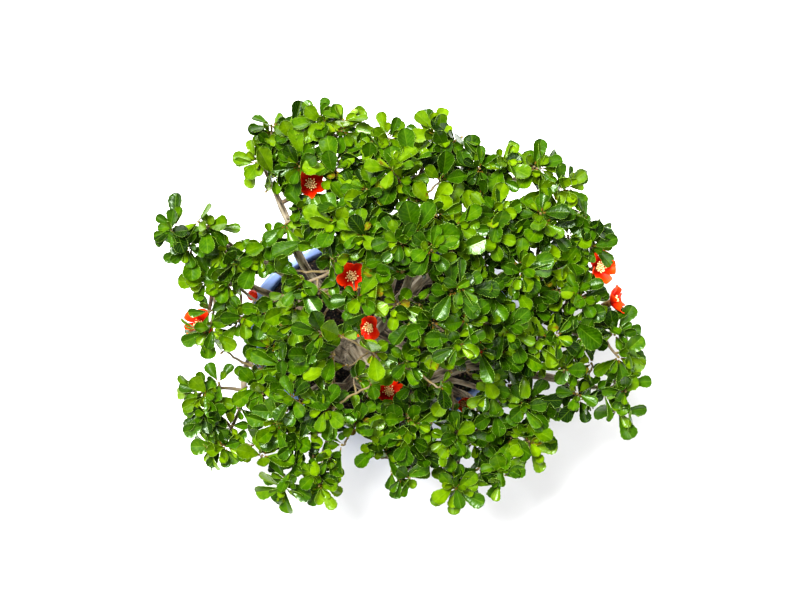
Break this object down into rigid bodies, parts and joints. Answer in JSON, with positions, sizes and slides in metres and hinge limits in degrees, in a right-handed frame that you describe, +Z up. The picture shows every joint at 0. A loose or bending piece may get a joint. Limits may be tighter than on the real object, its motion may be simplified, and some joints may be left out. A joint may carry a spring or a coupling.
{
  "type": "flowering quince bonsai",
  "caption": "Dwarf flowering quince trained as a low many-limbed clump, with small glossy leaves and scarlet blooms, in an oval blue glazed pot.",
  "frame": {"origin": "on the surface that the pot's feet stand on, below the middle of the whole plant's box", "axes": "+Z up, +X along the pot's long side to the right of the picture, +Y to the top of the picture"},
  "size_m": [0.3676, 0.3057, 0.2505],
  "materials": {
    "glaze": "gloss",
    "soil": "matte",
    "bark": "rough",
    "leaf": "satin",
    "petal": "satin"
  },
  "bodies": {
    "root": {"pot": "glaze", "soil": "soil", "clump": "bark", "spray_far_left": "leaf", "spray_left_knee": "leaf", "spray_left_inner": "leaf", "spray_left_low": "leaf", "spray_left_middle": "leaf", "spray_back_left_a": "leaf", "spray_back_left_b": "leaf", "spray_back_left_c": "leaf", "spray_back_a": "leaf", "spray_back_b": "leaf", "spray_back_middle_a": "leaf", "spray_back_middle_b": "leaf", "spray_back_middle_c": "leaf", "spray_back_right_a": "leaf", "spray_back_right_b": "leaf", "spray_back_right_c": "leaf", "spray_upper_right_a": "leaf", "spray_upper_right_b": "leaf", "spray_upper_right_c": "leaf", "spray_right_a": "leaf", "spray_right_b": "leaf", "spray_right_c": "leaf", "spray_lower_right_a": "leaf", "spray_lower_right_b": "leaf", "spray_lower_right_c": "leaf", "spray_front_right_a": "leaf", "spray_front_right_b": "leaf", "spray_front_right_c": "leaf", "spray_front_a": "leaf", "spray_front_b": "leaf", "spray_front_left_a": "leaf", "spray_front_left_b": "leaf", "spray_front_left_c": "leaf", "spray_lower_left_a": "leaf", "spray_lower_left_b": "leaf", "spray_lower_left_c": "leaf", "spray_low_front_a": "leaf", "spray_crown_a": "leaf", "spray_crown_b": "leaf", "spray_crown_front_a": "leaf", "spray_crown_front_b": "leaf", "spray_crown_left_a": "leaf", "spray_crown_left_b": "leaf", "bloom_back_left": "petal", "bloom_crown_left": "petal", "bloom_crown": "petal", "bloom_upper_right": "petal", "bloom_right": "petal", "bloom_front": "petal", "bloom_left": "petal", "bloom_low_right": "petal", "bloom_back_right": "petal", "bloom_middle_right": "petal", "bud_left": "petal", "bud_inner_left": "petal", "bud_front": "petal", "spent_bloom": "petal"}
  },
  "joints": []
}
